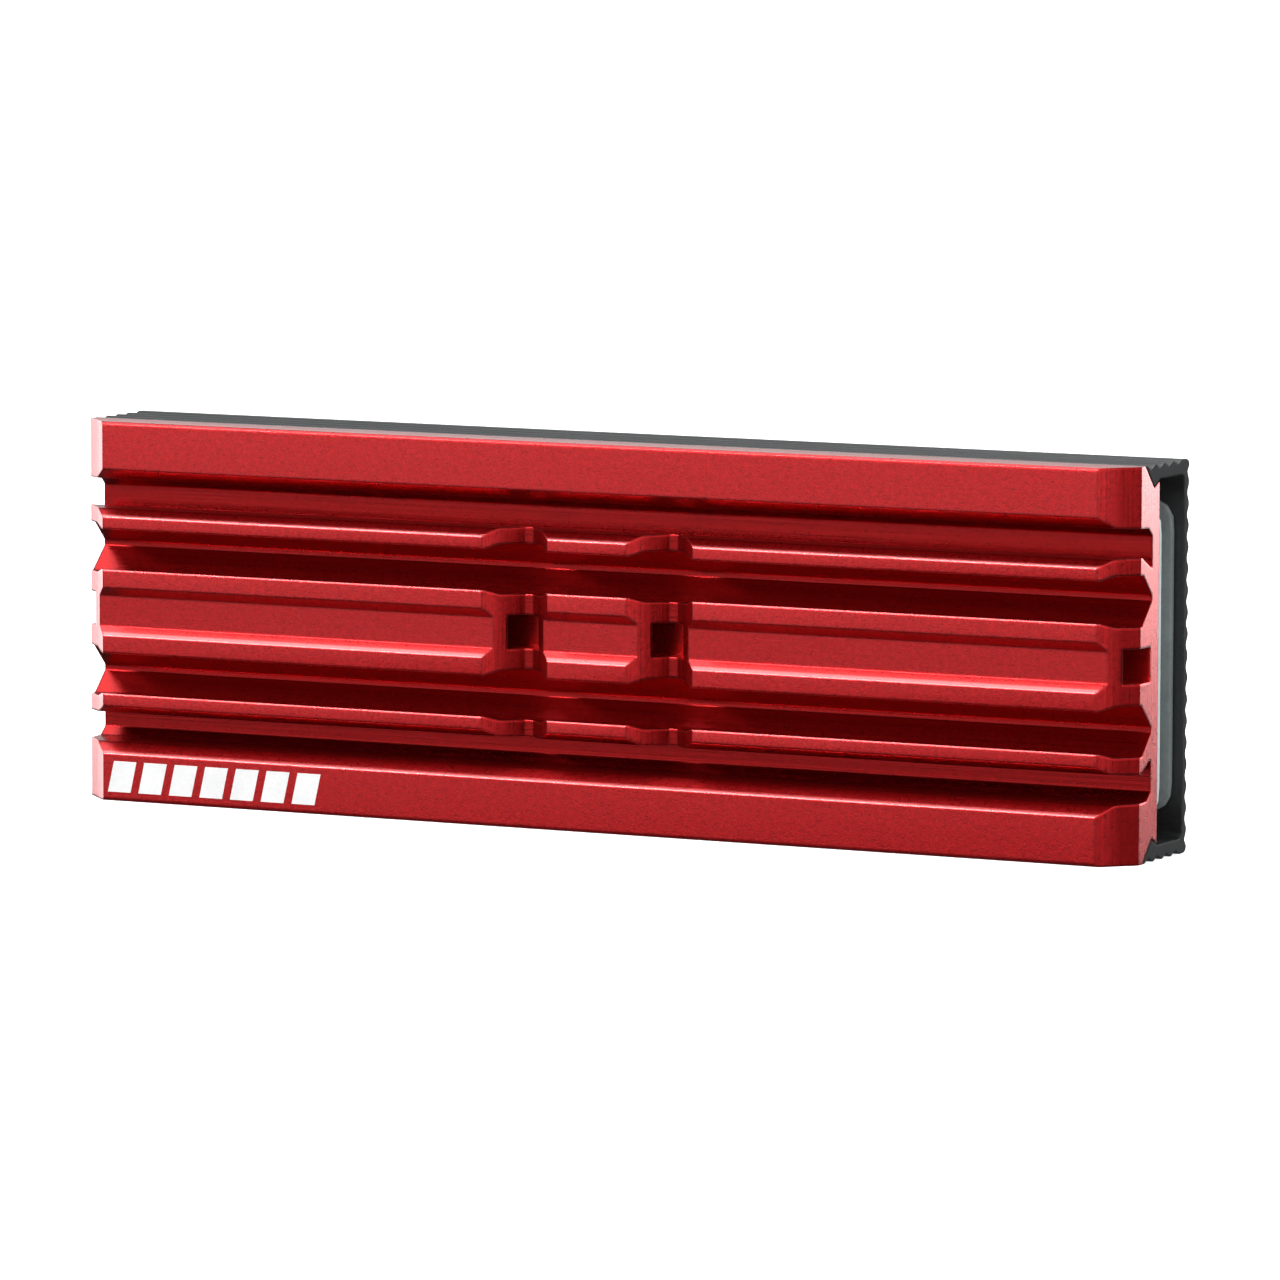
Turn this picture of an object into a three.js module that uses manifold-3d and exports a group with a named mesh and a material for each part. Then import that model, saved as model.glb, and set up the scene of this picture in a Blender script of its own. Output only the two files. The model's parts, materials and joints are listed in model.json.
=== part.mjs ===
// A finned aluminium M.2 drive casing: a finned upper half, a ribbed channel tray that slides onto
// its side grooves, two thermal pads, and the 22 mm wide drive board that lies between them.
// It stands on one long edge. X runs along the casing, the fins face -Y, and Z is up.
// All sizes are in millimetres.
import * as THREE from 'three';
import { mergeVertices } from 'three/addons/utils/BufferGeometryUtils.js';
import Module from 'manifold-3d';

const wasm = await Module();
wasm.setup();

// Casing
const LENGTH = 74;
const WIDTH = 24.5;
const THICKNESS = 9.3;
const HEATSINK_DEPTH = 4.75;
const GROOVE_DEPTH = 3.8;
const CUT_DEPTH = 2.05;
const CROSS_GROOVE_X = 5.1;
const CROSS_GROOVE_FLOOR = 0.57;
const CROSS_GROOVE_WIDTH = 14.4;
const TUNNEL = { front: 1.25, back: 3.6, halfWidth: 1.08 };
const HOOK = { start: 2.7, tipDepth: 3.98, tipSide: 10.9, end: 4.85 };
const HOOK_GAP = 0.14;
const FOOT_SIDE = 11.15;
const TRAY_WALL_SIDE = 11.32;
const TRAY_FLOOR = 8.62;
const TRAY_INSIDE_CORNER = 0.3;
const TRAY_CORNER = { start: 8.65, end: 11.81, steps: 6 };
const RIB_PITCH = 1.35;
const RIB_HEIGHT = 0.26;
const BACK_RIBS = 17;
const SIDE_RIBS = 4;
const FIRST_SIDE_CREST = 2.85;
const RIB_STEPS = 8;
const FILLET_STEPS = 3;
// How far a cutter runs past the faces that it cuts
const CLEAR = 1;

// One half of the fin outline as (depth, side, corner radius), from the middle of the width out.
// Every fin flares or leans just below its tip, which leaves the grooves undercut.
const RECESS = [[0.55, 1.0, 0.08], [0, 1.55, 0.12]];
const INNER_FIN = [[0, 2.77, 0.14], [0.9, 2.42, 0.4], [2.25, 2.38, 0.3]];
const SIX_SIDED_GROOVE = [[GROOVE_DEPTH, 3.88, 0.1], [GROOVE_DEPTH, 4.24, 0.1], [2.45, 5.6, 0.3]];
const LEANING_FIN = [[0.9, 5.6, 0.4], [0, 5.26, 0.12], [0, 6.13, 0.16], [0.8, 6.6, 0.4], [2.2, 6.66, 0.3]];
const OUTER_GROOVE = [[3.55, 5.95, 0.1], [GROOVE_DEPTH, 5.95, 0.05], [GROOVE_DEPTH, 7.9, 0.2], [3.2, 8.42, 0.2]];
const OUTER_FIN = [[0.95, 8.5, 0.4], [0, 9.17, 0.14], [0, WIDTH / 2, 0.25]];
const FIN_OUTLINE = [...RECESS, ...INNER_FIN, ...SIX_SIDED_GROOVE, ...LEANING_FIN, ...OUTER_GROOVE, ...OUTER_FIN];
// The side notch that the tray's hook runs in, and the foot below it, written the same way.
const NOTCH_OUTLINE = [
  [HOOK.start - HOOK_GAP, WIDTH / 2, 0.05],
  [HOOK.tipDepth, HOOK.tipSide - HOOK_GAP, 0.04],
  [HEATSINK_DEPTH, FOOT_SIDE, 0.05],
];

// Thermal pads
const PAD_THICKNESS = 0.5;
const PAD_WIDTH = 19.5;
const PAD_CORNER = 1.5;
const UPPER_PAD_LENGTH = 73.8;
const LOWER_PAD_LENGTH = 72.7;

// Drive board, 60 mm size of the 22 mm wide family
const BOARD_LENGTH = 60;
const BOARD_WIDTH = 22;
const BOARD_THICKNESS = 0.8;
const BOARD_FRONT = 6.62;
const TONGUE = { length: 4, width: 19.85, corner: 0.3 };
const KEY = { side: -6.125, radius: 0.6, length: 3.5 };
const SCREW_NOTCH_RADIUS = 1.75;
const SCREW_PAD_RADIUS = 2.75;
const SCREW_PAD_GAP = 0.05;
const PLATING = 0.04;
const CONTACT = { pitch: 0.5, width: 0.35, start: 0.25, end: 2.25, bus: 0.15 };
const CONTACT_ROWS = { long: { firstSide: -5, count: 29 }, short: { firstSide: -9.25, count: 5 } };
const LID_THICKNESS = 0.35;
const PACKAGE_CORNER_SEGMENTS = 1;

const CENTRE_Z = WIDTH / 2;
const boardBack = BOARD_FRONT + BOARD_THICKNESS;

const finishes = {
  redAluminium: { color: 0xb02a2e, roughness: 0.55, metalness: 0.7 },
  blackAluminium: { color: 0x34373a, roughness: 0.5, metalness: 0.6 },
  palePad: { color: 0xb4bcc0, roughness: 0.9, metalness: 0 },
  greyPad: { color: 0x5c6262, roughness: 0.9, metalness: 0 },
  laminate: { color: 0x14181a, roughness: 0.5, metalness: 0 },
  gold: { color: 0xd6a84a, roughness: 0.3, metalness: 1 },
  nickel: { color: 0xb9babb, roughness: 0.35, metalness: 1 },
  mould: { color: 0x1d1e20, roughness: 0.6, metalness: 0 },
  ferrite: { color: 0x4b4b4d, roughness: 0.7, metalness: 0 },
  dielectric: { color: 0xa27e5a, roughness: 0.5, metalness: 0 },
  labelFilm: { color: 0x9aa0a4, roughness: 0.4, metalness: 0.2 },
};

const casing = new THREE.Group();

function addPart(parent, name, geometry, finish) {
  const mesh = new THREE.Mesh(geometry, new THREE.MeshStandardMaterial(finishes[finish]));
  mesh.name = name;
  parent.add(mesh);
  return mesh;
}

// Depth is counted from the fin tips towards the tray, and side from the middle of the width.
function depthToY(depth) {
  return depth - THICKNESS / 2;
}

function shapeOf(points) {
  return new THREE.Shape(points.map(([a, b]) => new THREE.Vector2(a, b)));
}

// A cross-section given as (depth, side) points, drawn out along X about the middle.
function alongX(shape, length) {
  const geometry = new THREE.ExtrudeGeometry(shape, { depth: length, bevelEnabled: false, curveSegments: 8 });
  const axes = new THREE.Matrix4().makeBasis(
    new THREE.Vector3(0, 1, 0),
    new THREE.Vector3(0, 0, 1),
    new THREE.Vector3(1, 0, 0),
  );
  geometry.applyMatrix4(axes);
  return geometry.translate(-length / 2, depthToY(0), CENTRE_Z);
}

// An outline given as (x, side) points, with its front face at one depth and its back at another.
function plate(shape, front, back, curveSegments = 6) {
  const geometry = new THREE.ExtrudeGeometry(shape, { depth: back - front, bevelEnabled: false, curveSegments });
  geometry.rotateX(Math.PI / 2);
  return geometry.translate(0, depthToY(back), CENTRE_Z);
}

// A wedge or trapezium given as (x, depth) points, drawn out across the middle of the width.
function acrossWidth(points, width) {
  const geometry = new THREE.ExtrudeGeometry(shapeOf(points), { depth: width, bevelEnabled: false });
  return geometry.translate(0, depthToY(0), CENTRE_Z - width / 2);
}

function toSolid(geometry) {
  const bare = geometry.clone();
  bare.deleteAttribute('normal');
  bare.deleteAttribute('uv');
  const merged = mergeVertices(bare, 1e-5);
  return new wasm.Manifold(new wasm.Mesh({
    numProp: 3,
    vertProperties: merged.attributes.position.array,
    triVerts: new Uint32Array(merged.index.array),
  }));
}

function toGeometry(solid) {
  const mesh = solid.getMesh();
  const geometry = new THREE.BufferGeometry();
  geometry.setAttribute('position', new THREE.BufferAttribute(mesh.vertProperties, 3));
  geometry.setIndex(new THREE.BufferAttribute(mesh.triVerts, 1));
  geometry.computeVertexNormals();
  return geometry;
}

function cutAway(geometry, cutters) {
  let solid = toSolid(geometry);
  for (const cutter of cutters) {
    solid = solid.subtract(toSolid(cutter));
  }
  return toGeometry(solid);
}

function mirrored(half) {
  const other = half.map(([depth, side, ...rest]) => [depth, -side, ...rest]);
  return [...half, ...other.reverse()];
}

// Rounds each corner of a closed outline of (depth, side, corner radius) points.
function filleted(corners) {
  return corners.flatMap(([depth, side, radius], i) => {
    const here = new THREE.Vector2(depth, side);
    const before = new THREE.Vector2(...corners.at(i - 1)).sub(here).normalize();
    const after = new THREE.Vector2(...corners[(i + 1) % corners.length]).sub(here).normalize();
    const setback = radius / Math.tan(Math.acos(before.dot(after)) / 2);
    const from = here.clone().addScaledVector(before, setback);
    const to = here.clone().addScaledVector(after, setback);
    return new THREE.QuadraticBezierCurve(from, here, to).getPoints(FILLET_STEPS).map((p) => [p.x, p.y]);
  });
}

function endChamfer(way) {
  const end = way * LENGTH / 2;
  const reach = way * (CUT_DEPTH + CLEAR);
  const past = end + way * CLEAR;
  return acrossWidth([[end - reach, -CLEAR], [past, CUT_DEPTH + CLEAR], [past, -CLEAR]], WIDTH + 2 * CLEAR);
}

// The milled grooves cross the four inner fins and stop inside the outer grooves.
function crossGroove(way) {
  const middle = way * CROSS_GROOVE_X;
  const floor = CROSS_GROOVE_FLOOR / 2;
  const mouth = floor + CUT_DEPTH + CLEAR;
  return acrossWidth([
    [middle - floor, CUT_DEPTH],
    [middle + floor, CUT_DEPTH],
    [middle + mouth, -CLEAR],
    [middle - mouth, -CLEAR],
  ], CROSS_GROOVE_WIDTH);
}

function heatsinkGeometry() {
  const shape = shapeOf(filleted(mirrored([...FIN_OUTLINE, ...NOTCH_OUTLINE])));
  const { front, back, halfWidth } = TUNNEL;
  shape.holes.push(shapeOf([[front, halfWidth], [front, -halfWidth], [back, -halfWidth], [back, halfWidth]]));
  const cutters = [-1, 1].flatMap((way) => [endChamfer(way), crossGroove(way)]);
  return cutAway(alongX(shape, LENGTH), cutters);
}

// How far a ribbed face falls below its crests, at a distance from a crest.
function ribFall(distance) {
  return RIB_HEIGHT / 2 * (1 - Math.cos(2 * Math.PI * distance / RIB_PITCH));
}

// The ribbed outside of one half of the tray, from the hook round to the middle of the back.
function trayOutside() {
  const step = RIB_PITCH / RIB_STEPS;
  const sideRibs = Array.from({ length: SIDE_RIBS * RIB_STEPS + 1 }, (_, i) => {
    return [FIRST_SIDE_CREST + i * step, WIDTH / 2 - ribFall(i * step)];
  });
  const corner = new THREE.QuadraticBezierCurve(
    new THREE.Vector2(TRAY_CORNER.start, WIDTH / 2),
    new THREE.Vector2(THICKNESS, WIDTH / 2),
    new THREE.Vector2(THICKNESS, TRAY_CORNER.end),
  );
  const cornerPoints = corner.getPoints(TRAY_CORNER.steps).map((p) => [p.x, p.y]);
  const backRibs = Array.from({ length: BACK_RIBS / 2 * RIB_STEPS }, (_, i) => {
    const side = BACK_RIBS / 2 * RIB_PITCH - i * step;
    return [THICKNESS - ribFall(side), side];
  });
  return [[HOOK.start, WIDTH / 2], ...sideRibs, ...cornerPoints, ...backRibs];
}

function trayGeometry() {
  const half = [
    [TRAY_FLOOR, TRAY_WALL_SIDE - TRAY_INSIDE_CORNER],
    [TRAY_FLOOR - TRAY_INSIDE_CORNER, TRAY_WALL_SIDE],
    [HOOK.end, TRAY_WALL_SIDE],
    [HOOK.tipDepth, HOOK.tipSide],
    ...trayOutside(),
  ];
  return alongX(shapeOf(mirrored(half)), LENGTH);
}

function roundedOutline(length, width, corner, middleX = 0, middleSide = 0) {
  const shape = new THREE.Shape();
  const [x, s] = [length / 2, width / 2];
  const quarter = Math.PI / 2;
  shape.absarc(middleX + x - corner, middleSide + s - corner, corner, 0, quarter);
  shape.absarc(middleX - x + corner, middleSide + s - corner, corner, quarter, 2 * quarter);
  shape.absarc(middleX - x + corner, middleSide - s + corner, corner, 2 * quarter, 3 * quarter);
  shape.absarc(middleX + x - corner, middleSide - s + corner, corner, 3 * quarter, 4 * quarter);
  return shape;
}

function addCasing() {
  addPart(casing, 'heatsink', heatsinkGeometry(), 'redAluminium');
  addPart(casing, 'tray', trayGeometry(), 'blackAluminium');
  const upper = roundedOutline(UPPER_PAD_LENGTH, PAD_WIDTH, PAD_CORNER);
  addPart(casing, 'upper_pad', plate(upper, HEATSINK_DEPTH, HEATSINK_DEPTH + PAD_THICKNESS), 'palePad');
  const lower = roundedOutline(LOWER_PAD_LENGTH, PAD_WIDTH, PAD_CORNER);
  addPart(casing, 'lower_pad', plate(lower, TRAY_FLOOR - PAD_THICKNESS, TRAY_FLOOR), 'greyPad');
}

// Board places are counted from its contact end, which points along -X.
function boardX(fromContacts) {
  return fromContacts - BOARD_LENGTH / 2;
}

function boardOutline() {
  const shape = new THREE.Shape();
  const [left, right, side] = [boardX(0), boardX(BOARD_LENGTH), BOARD_WIDTH / 2];
  const tongueSide = TONGUE.width / 2;
  const shoulder = left + TONGUE.length;
  shape.moveTo(left, KEY.side + KEY.radius);
  shape.lineTo(left, tongueSide - TONGUE.corner);
  shape.lineTo(left + TONGUE.corner, tongueSide);
  shape.lineTo(shoulder, tongueSide);
  shape.lineTo(shoulder, side);
  shape.lineTo(right, side);
  shape.lineTo(right, SCREW_NOTCH_RADIUS);
  shape.absarc(right, 0, SCREW_NOTCH_RADIUS, Math.PI / 2, 3 * Math.PI / 2, false);
  shape.lineTo(right, -side);
  shape.lineTo(shoulder, -side);
  shape.lineTo(shoulder, -tongueSide);
  shape.lineTo(left + TONGUE.corner, -tongueSide);
  shape.lineTo(left, -tongueSide + TONGUE.corner);
  shape.lineTo(left, KEY.side - KEY.radius);
  shape.absarc(left + KEY.length - KEY.radius, KEY.side, KEY.radius, -Math.PI / 2, Math.PI / 2, false);
  return shape;
}

// Contacts in one row, joined at their inner ends by the plating between them.
function contactOutline({ firstSide, count }) {
  const [outer, inner, joined] = [CONTACT.start, CONTACT.end, CONTACT.end + CONTACT.bus].map(boardX);
  const half = CONTACT.width / 2;
  const middles = Array.from({ length: count }, (_, i) => firstSide + i * CONTACT.pitch).reverse();
  const teeth = middles.flatMap((side) => [
    [inner, side + half],
    [outer, side + half],
    [outer, side - half],
    [inner, side - half],
  ]);
  const corners = [[joined, middles[0] + half], ...teeth.slice(1, -1), [joined, firstSide - half]];
  return shapeOf(corners);
}

function screwPadOutline() {
  const middle = boardX(BOARD_LENGTH);
  const shape = new THREE.Shape();
  shape.absarc(middle, 0, SCREW_PAD_RADIUS, Math.PI / 2, 3 * Math.PI / 2, false);
  shape.absarc(middle, 0, SCREW_NOTCH_RADIUS + SCREW_PAD_GAP, 3 * Math.PI / 2, Math.PI / 2, true);
  return shape;
}

function addBoard() {
  addPart(casing, 'drive_board', plate(boardOutline(), BOARD_FRONT, boardBack), 'laminate');
  const faces = [
    ['front', BOARD_FRONT - PLATING, BOARD_FRONT],
    ['back', boardBack, boardBack + PLATING],
  ];
  for (const [face, front, back] of faces) {
    for (const [row, contacts] of Object.entries(CONTACT_ROWS)) {
      addPart(casing, `contacts_${row}_${face}`, plate(contactOutline(contacts), front, back), 'gold');
    }
    addPart(casing, `screw_pad_${face}`, plate(screwPadOutline(), front, back), 'gold');
  }
}

// A package lying on the board: size along X, size across, height, and the place of its middle.
function addPackage(name, [length, width, height], [fromContacts, side], finish, base = 0, corner = 0.15) {
  const outline = roundedOutline(length, width, corner, boardX(fromContacts), side);
  const front = BOARD_FRONT - base - height;
  addPart(casing, name, plate(outline, front, BOARD_FRONT - base, PACKAGE_CORNER_SEGMENTS), finish);
}

function addBackPart(name, [length, width, height], [fromContacts, side], finish) {
  const outline = roundedOutline(length, width, 0.05, boardX(fromContacts), side);
  addPart(casing, name, plate(outline, boardBack, boardBack + height, PACKAGE_CORNER_SEGMENTS), finish);
}

function addChips() {
  const nand = [12, 18, 1.3];
  addPackage('flash_memory_1', nand, [36.8, 0], 'mould');
  addPackage('flash_memory_2', nand, [49.6, 0], 'mould');
  addPackage('buffer_memory', [7.5, 11, 1.1], [26.15, -1.5], 'mould');
  const controller = [11, 11, 0.9];
  const controllerPlace = [16.1, 1.5];
  addPackage('controller', controller, controllerPlace, 'mould');
  addPackage('controller_lid', [9, 9, LID_THICKNESS], controllerPlace, 'nickel', controller[2], 0.6);
  addPackage('power_chip', [3.5, 3.5, 0.8], [7.3, 1.2], 'mould');
  addPackage('load_switch', [1.8, 1.8, 0.6], [7.0, -8.8], 'mould', 0, 0.08);
  addPackage('crystal', [1.6, 2.0, 0.6], [12.2, -6.6], 'nickel', 0, 0.2);
}

function addPassives() {
  const inductorSides = [4.6, 7.2, 9.6];
  inductorSides.forEach((side, i) => {
    addPackage(`inductor_${i + 1}`, [2.5, 2.0, 1.0], [6.9, side], 'ferrite');
  });
  const capacitorPlaces = [[6.6, -1.9], [6.6, -3.1], [6.6, -4.3], [24.0, 6.2], [26.2, 6.2], [28.4, 6.2]];
  capacitorPlaces.forEach((place, i) => {
    addPackage(`capacitor_${i + 1}`, [1.6, 0.8, 0.8], place, 'dielectric', 0, 0.06);
  });
  const resistorPlaces = [[9.8, -9.6], [15.5, -6.4], [17.5, -6.4], [19.5, -6.4]];
  resistorPlaces.forEach((place, i) => {
    addPackage(`resistor_${i + 1}`, [1.0, 0.5, 0.35], place, 'mould', 0, 0.04);
  });
  const backPlaces = [[6.6, -6], [6.6, -3], [6.6, 3], [6.6, 6]];
  backPlaces.forEach((place, i) => {
    addBackPart(`back_capacitor_${i + 1}`, [1.0, 0.5, 0.35], place, 'dielectric');
  });
  addBackPart('back_label', [44, 18, 0.1], [32, 0], 'labelFilm');
}

addCasing();
addBoard();
addChips();
addPassives();

export default casing;
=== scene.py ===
"""Looks for the finned M.2 drive casing and the drive in it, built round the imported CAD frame.

Everything is in metres in the frame's own axes: X along the casing, fins towards -Y, Z up.
"""
import json
import math

import bmesh
import bpy
import mathutils.noise
from mathutils import Matrix, Vector


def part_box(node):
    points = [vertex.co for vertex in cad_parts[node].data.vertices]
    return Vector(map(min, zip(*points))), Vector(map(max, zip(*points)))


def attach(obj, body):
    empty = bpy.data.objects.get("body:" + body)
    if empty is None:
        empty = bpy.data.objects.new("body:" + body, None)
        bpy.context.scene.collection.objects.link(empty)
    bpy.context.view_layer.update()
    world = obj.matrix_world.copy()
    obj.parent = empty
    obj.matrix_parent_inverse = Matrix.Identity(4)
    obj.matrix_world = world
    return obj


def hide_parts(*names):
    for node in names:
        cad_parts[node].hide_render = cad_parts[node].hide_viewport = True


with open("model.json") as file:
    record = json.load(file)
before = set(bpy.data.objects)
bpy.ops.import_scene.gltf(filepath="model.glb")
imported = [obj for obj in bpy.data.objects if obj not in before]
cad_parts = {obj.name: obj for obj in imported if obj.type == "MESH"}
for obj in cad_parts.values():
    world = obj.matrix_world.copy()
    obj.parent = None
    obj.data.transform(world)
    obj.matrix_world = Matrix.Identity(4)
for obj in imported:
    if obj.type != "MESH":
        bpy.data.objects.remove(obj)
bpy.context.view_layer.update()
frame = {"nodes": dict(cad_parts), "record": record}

MM = 0.001
NODES = frame["nodes"]

# Camera: angles in degrees round the casing, and the lens and its sensor in mm.
AZIMUTH = 26.84
ELEVATION = 6.18
ROLL = 0.17
DISTANCE = 595.0 * MM
TARGET = Vector((1.25, 0.35, 11.78)) * MM
FOCAL_LENGTH = 265.3
SENSOR_WIDTH = 36.0

# Places on the heatsink: y grows from the fin tips back towards the tray, and the tunnel's
# corners are (y, z). A part blasted nowhere has its limit in front of everything.
BLASTED_TO = -4.25 * MM
BLASTED_NOWHERE = -10.0
TIPS_BACK_TO = -4.5 * MM
TIPS_TOP = 24.0 * MM
TUNNEL_LOW = (-3.39 * MM, 11.15 * MM)
TUNNEL_HIGH = (-1.04 * MM, 13.35 * MM)


# ---------------------------------------------------------------- materials

def new_material(name, metallic=0.0, **sockets):
    """A Principled material. Constants go on the shader's own sockets."""
    material = bpy.data.materials.new(name)
    material.use_nodes = True
    shader = material.node_tree.nodes["Principled BSDF"]
    shader.inputs["Metallic"].default_value = metallic
    for key, value in sockets.items():
        shader.inputs[key.replace("_", " ")].default_value = value
    return material, material.node_tree, shader


def add(tree, kind, **settings):
    """A new node with its settings made."""
    node = tree.nodes.new(kind)
    for key, value in settings.items():
        setattr(node, key, value)
    return node


def stretched_place(tree, scale):
    """Object coordinates scaled by (x, y, z), which draws a pattern out along one way."""
    place = add(tree, "ShaderNodeTexCoord")
    mapping = add(tree, "ShaderNodeMapping")
    mapping.inputs["Scale"].default_value = scale
    tree.links.new(place.outputs["Object"], mapping.inputs["Vector"])
    return mapping.outputs["Vector"]


def noise(tree, scale, detail=3.0, roughness=0.6, stretch=(1.0, 1.0, 1.0)):
    """A noise value, drawn out along any axis whose stretch is small."""
    node = add(tree, "ShaderNodeTexNoise")
    node.inputs["Scale"].default_value = scale
    node.inputs["Detail"].default_value = detail
    node.inputs["Roughness"].default_value = roughness
    tree.links.new(stretched_place(tree, stretch), node.inputs["Vector"])
    return node.outputs["Fac"]


def ramp(tree, value, stops):
    """Colours at positions along 0 to 1."""
    node = add(tree, "ShaderNodeValToRGB")
    band = node.color_ramp
    band.elements[0].position, band.elements[0].color = stops[0][0], (*stops[0][1], 1.0)
    band.elements[1].position, band.elements[1].color = stops[-1][0], (*stops[-1][1], 1.0)
    for position, colour in stops[1:-1]:
        band.elements.new(position).color = (*colour, 1.0)
    tree.links.new(value, node.inputs["Fac"])
    return node.outputs["Color"]


def spread(tree, value, low, high, start=0.3, end=0.7):
    """A noise value stretched to run from low to high."""
    node = add(tree, "ShaderNodeMapRange")
    node.inputs["From Min"].default_value = start
    node.inputs["From Max"].default_value = end
    node.inputs["To Min"].default_value = low
    node.inputs["To Max"].default_value = high
    tree.links.new(value, node.inputs["Value"])
    return node.outputs["Result"]


def mixed(tree, factor, first, second):
    """First at factor 0 and second at factor 1, either of them a colour or a socket."""
    node = add(tree, "ShaderNodeMix", data_type="RGBA", blend_type="MIX")
    sockets = {s.identifier: s for s in node.inputs}
    if isinstance(factor, float):
        sockets["Factor_Float"].default_value = factor
    else:
        tree.links.new(factor, sockets["Factor_Float"])
    for key, value in (("A_Color", first), ("B_Color", second)):
        if isinstance(value, tuple):
            sockets[key].default_value = (*value, 1.0)
        else:
            tree.links.new(value, sockets[key])
    return {s.identifier: s for s in node.outputs}["Result_Color"]


def product(tree, first, *others):
    """Values multiplied together."""
    result = first
    for value in others:
        node = add(tree, "ShaderNodeMath", operation="MULTIPLY")
        tree.links.new(result, node.inputs[0])
        tree.links.new(value, node.inputs[1])
        result = node.outputs["Value"]
    return result


def bumped(tree, shader, layers, rounding=0.0):
    """Stacks bump layers of (height, distance, strength) on a normal that rounds sharp edges."""
    normal = None
    if rounding:
        rounded = add(tree, "ShaderNodeBevel", samples=12)
        rounded.inputs["Radius"].default_value = rounding
        normal = rounded.outputs["Normal"]
    for height, distance, strength in layers:
        bump = add(tree, "ShaderNodeBump")
        bump.inputs["Distance"].default_value = distance
        bump.inputs["Strength"].default_value = strength
        tree.links.new(height, bump.inputs["Height"])
        if normal is not None:
            tree.links.new(normal, bump.inputs["Normal"])
        normal = bump.outputs["Normal"]
    tree.links.new(normal, shader.inputs["Normal"])


def edge_amount(tree, radius, low=0.02, high=0.25):
    """How near a sharp edge a point is: 0 on a flat, towards 1 on the edge."""
    rounded = add(tree, "ShaderNodeBevel", samples=6)
    rounded.inputs["Radius"].default_value = radius
    geometry = add(tree, "ShaderNodeNewGeometry")
    dot = add(tree, "ShaderNodeVectorMath", operation="DOT_PRODUCT")
    tree.links.new(rounded.outputs["Normal"], dot.inputs[0])
    tree.links.new(geometry.outputs["True Normal"], dot.inputs[1])
    return spread(tree, dot.outputs["Value"], 1.0, 0.0, 1.0 - high, 1.0 - low)


def mask_between(tree, value, low, high):
    """0 below low and 1 above high."""
    return spread(tree, value, 0.0, 1.0, low, high)


def facing(tree, axis):
    """How far a face's own normal points along an axis, either way: 0 to 1."""
    geometry = add(tree, "ShaderNodeNewGeometry")
    split = add(tree, "ShaderNodeSeparateXYZ")
    size = add(tree, "ShaderNodeMath", operation="ABSOLUTE")
    tree.links.new(geometry.outputs["True Normal"], split.inputs["Vector"])
    tree.links.new(split.outputs[axis], size.inputs[0])
    return size.outputs["Value"]


def along(tree, axis):
    """One object coordinate, in metres."""
    place = add(tree, "ShaderNodeTexCoord")
    split = add(tree, "ShaderNodeSeparateXYZ")
    tree.links.new(place.outputs["Object"], split.inputs["Vector"])
    return split.outputs[axis]


def tunnel_amount(tree):
    """1 on the walls of the heatsink's centre tunnel and 0 elsewhere."""
    tests = []
    for axis, low, high in zip("YZ", TUNNEL_LOW, TUNNEL_HIGH):
        for limit, operation in ((low, "GREATER_THAN"), (high, "LESS_THAN")):
            test = add(tree, "ShaderNodeMath", operation=operation)
            test.inputs[1].default_value = limit
            tree.links.new(along(tree, axis), test.inputs[0])
            tests.append(test.outputs["Value"])
    return product(tree, *tests)


def crest_highlight_amount(tree, radius):
    """1 along the fin tips' upward-facing edges, where a highlight is painted, and 0 elsewhere."""
    fade = 0.1 * MM
    rounded = add(tree, "ShaderNodeBevel", samples=8)
    rounded.inputs["Radius"].default_value = radius
    split = add(tree, "ShaderNodeSeparateXYZ")
    tree.links.new(rounded.outputs["Normal"], split.inputs["Vector"])
    upward = mask_between(tree, split.outputs["Z"], 0.12, 0.34)
    at_tips = mask_between(tree, along(tree, "Y"), TIPS_BACK_TO + fade, TIPS_BACK_TO)
    below_top = mask_between(tree, along(tree, "Z"), TIPS_TOP, TIPS_TOP - fade)
    return product(tree, upward, at_tips, below_top)


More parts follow.
